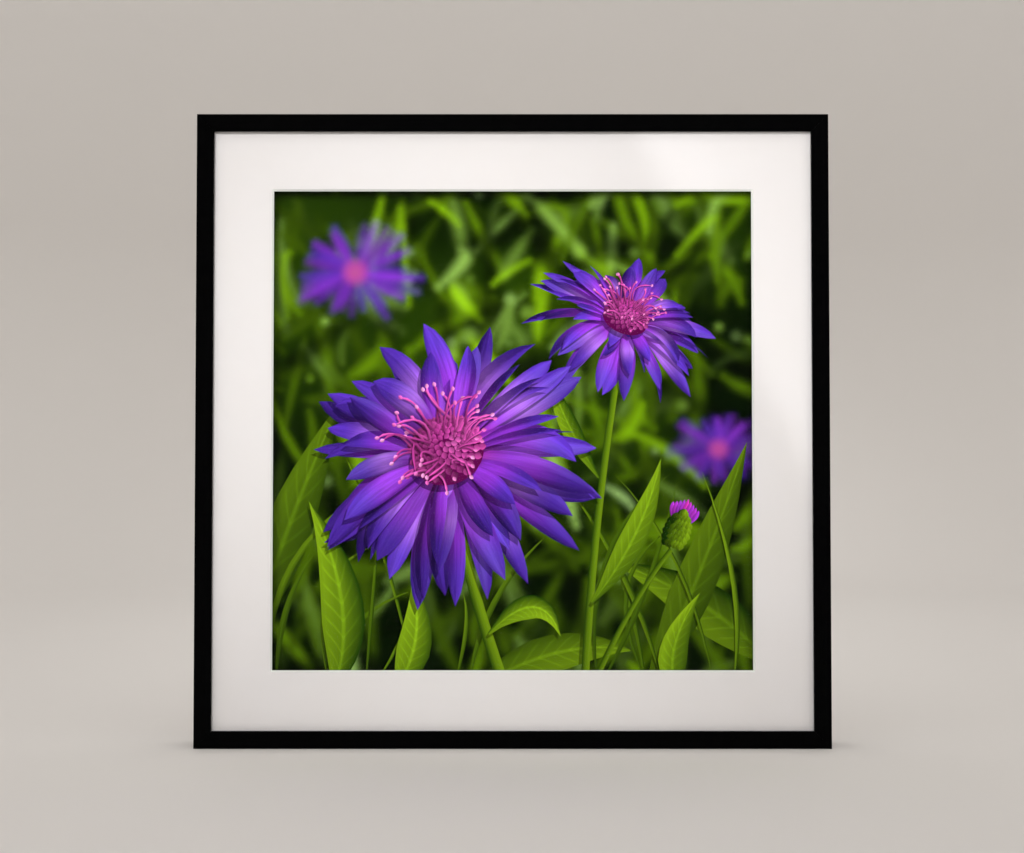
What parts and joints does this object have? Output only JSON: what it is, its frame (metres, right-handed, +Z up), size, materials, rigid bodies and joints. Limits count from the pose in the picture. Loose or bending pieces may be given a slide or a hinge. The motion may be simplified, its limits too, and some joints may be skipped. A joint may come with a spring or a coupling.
{
  "type": "framed picture",
  "caption": "Slim black square picture frame with clear glazing, a white bevelled window mat and a printed flower design, closed by a hardboard back with points, hanger and felt bumpers.",
  "frame": {"origin": "on the floor under the bottom rail, in the middle of the whole width and depth", "axes": "+Z up the picture, -Y out of its front, +Y out of its back, +X to the right seen from the front"},
  "size_m": [0.52, 0.0378, 0.52],
  "materials": {
    "black_lacquer": "satin",
    "clear_glass": "gloss",
    "mat_board": "matte",
    "print_paper": "satin",
    "hinge_tape": "matte",
    "mount_board": "matte",
    "hardboard": "matte",
    "zinc_steel": "satin",
    "felt": "matte"
  },
  "bodies": {
    "root": {"rail_top": "black_lacquer", "rail_bottom": "black_lacquer", "rail_left": "black_lacquer", "rail_right": "black_lacquer", "glazing_sheet": "clear_glass", "window_mat": "mat_board", "art_print": "print_paper", "hinge_tape_left": "hinge_tape", "hinge_tape_right": "hinge_tape", "mount_board": "mount_board", "backing_board": "hardboard", "point_top_1": "zinc_steel", "point_top_2": "zinc_steel", "point_top_3": "zinc_steel", "point_bottom_1": "zinc_steel", "point_bottom_2": "zinc_steel", "point_bottom_3": "zinc_steel", "point_left_1": "zinc_steel", "point_left_2": "zinc_steel", "point_left_3": "zinc_steel", "point_right_1": "zinc_steel", "point_right_2": "zinc_steel", "point_right_3": "zinc_steel", "v_nail_top": "zinc_steel", "v_nail_bottom": "zinc_steel", "v_nail_left": "zinc_steel", "v_nail_right": "zinc_steel", "sawtooth_hanger": "zinc_steel", "hanger_nail_left": "zinc_steel", "hanger_nail_right": "zinc_steel", "bumper_left": "felt", "bumper_right": "felt"}
  },
  "joints": []
}
